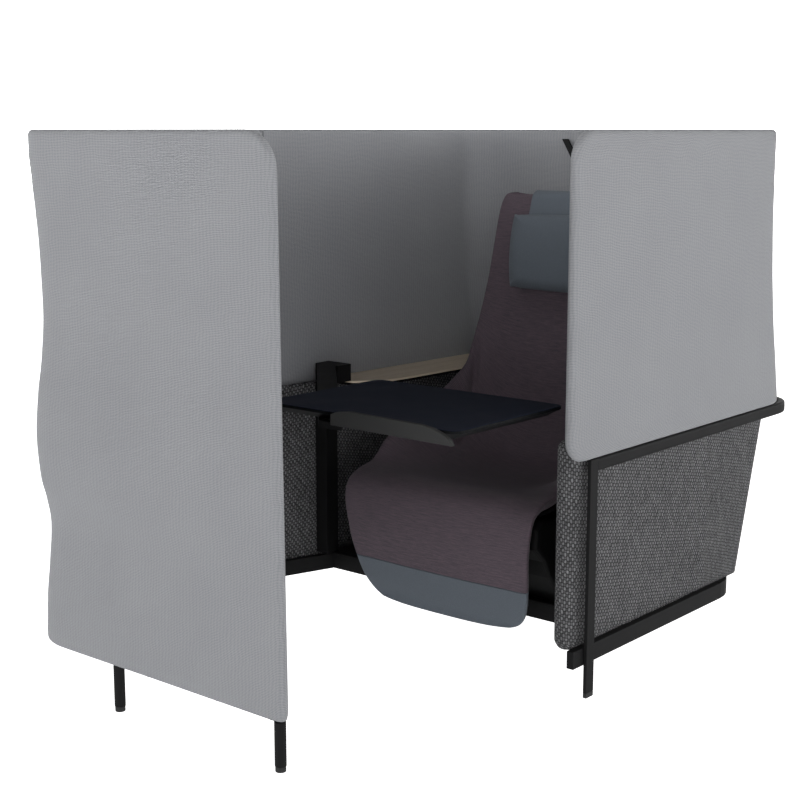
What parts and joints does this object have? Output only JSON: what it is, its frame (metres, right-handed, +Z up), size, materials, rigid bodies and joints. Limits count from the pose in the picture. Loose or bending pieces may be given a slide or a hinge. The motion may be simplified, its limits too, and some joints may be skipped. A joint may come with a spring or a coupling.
{
  "type": "acoustic high back lounge chair",
  "caption": "High back lounge seat in a U of knitted acoustic screens, with a wing screen in front, a swing-out work surface, side shelf and sliding headrest.",
  "frame": {"origin": "on the floor, under the middle of the chair's outline", "axes": "+X to the sitter's left (the entrance side), +Y to the rear, +Z up"},
  "size_m": [1.1088, 1.8024, 1.29],
  "materials": {
    "black_steel": "fine matt black powder coat",
    "dark_grey": "satin dark grey",
    "black_plastic": "matt moulded black",
    "glide_plastic": "matt black",
    "knit": "fine light grey knitted sleeve",
    "weave": "coarse charcoal and grey weave",
    "mauve": "mauve woven cloth with a fine horizontal slub",
    "blue_grey": "smooth blue-grey woven cloth",
    "maple": "light satin lacquered maple",
    "navy": "dark navy satin laminate",
    "diffuser": "opal white diffuser"
  },
  "bodies": {
    "frame": {"base_front_beam": "black_steel", "base_cross_beam": "black_steel", "base_rail_left": "black_steel", "base_rail_right": "black_steel", "base_rail_rear": "black_steel", "base_rail_flare": "black_steel", "base_plate": "black_steel", "leg_wing_near": "black_steel", "glide_wing_near": "glide_plastic", "leg_wing_far": "black_steel", "glide_wing_far": "glide_plastic", "leg_rear_left": "black_steel", "glide_rear_left": "glide_plastic", "leg_rear_right": "black_steel", "glide_rear_right": "glide_plastic", "entrance_post": "black_steel", "glide_entrance": "glide_plastic", "middle_rail": "black_steel", "wing_screen": "knit", "wing_sill": "black_steel", "lounge_screen": "knit", "panel_left": "weave", "panel_rear": "weave", "panel_right": "weave", "wing_liner": "weave", "panel_bracket_front": "black_steel", "panel_bracket_rear": "black_steel", "rail_tie_left": "black_steel", "rail_tie_right": "black_steel", "seat_front_band": "blue_grey", "seat_cushion": "mauve", "back_cushion": "mauve", "seat_shell": "black_plastic", "back_shell": "black_plastic", "seat_cover": "black_plastic", "headrest_strap": "blue_grey", "side_shelf": "maple", "shelf_carrier": "black_plastic", "surface_column": "black_steel", "arm_pin": "black_steel", "lamp_block": "black_plastic", "lamp_pin": "black_steel"},
    "surface": {"surface_arm": "black_steel", "surface_rail": "dark_grey", "work_surface": "navy"},
    "headrest": {"headrest_pad": "blue_grey"},
    "weight": {"headrest_weight": "blue_grey"},
    "lamp": {"lamp_arm": "black_plastic", "light_bar": "black_plastic", "light_lens": "diffuser"}
  },
  "joints": [
    {"name": "arm_swing", "type": "hinge", "parent": "frame", "child": "surface", "pos_m": [-0.44061, 0.05825, 0.62], "axis": [0, 0, 1], "range_deg": [-20, 4]},
    {"name": "headrest_slide", "type": "slide", "parent": "frame", "child": "headrest", "axis": [0, 0.1763, 0.9843], "range_m": [-0.08, 0.02]},
    {"name": "weight_slide", "type": "slide", "parent": "frame", "child": "weight", "axis": [0, 0.1763, 0.9843], "range_m": [-0.02, 0.08]},
    {"name": "lamp_tilt", "type": "hinge", "parent": "frame", "child": "lamp", "pos_m": [-0.08211, 0.75735, 1.18], "axis": [0, 1, 0], "range_deg": [-30, 28]}
  ],
  "couplings": [
    {"joint": "weight_slide", "follows": "headrest_slide", "ratio": -1}
  ]
}
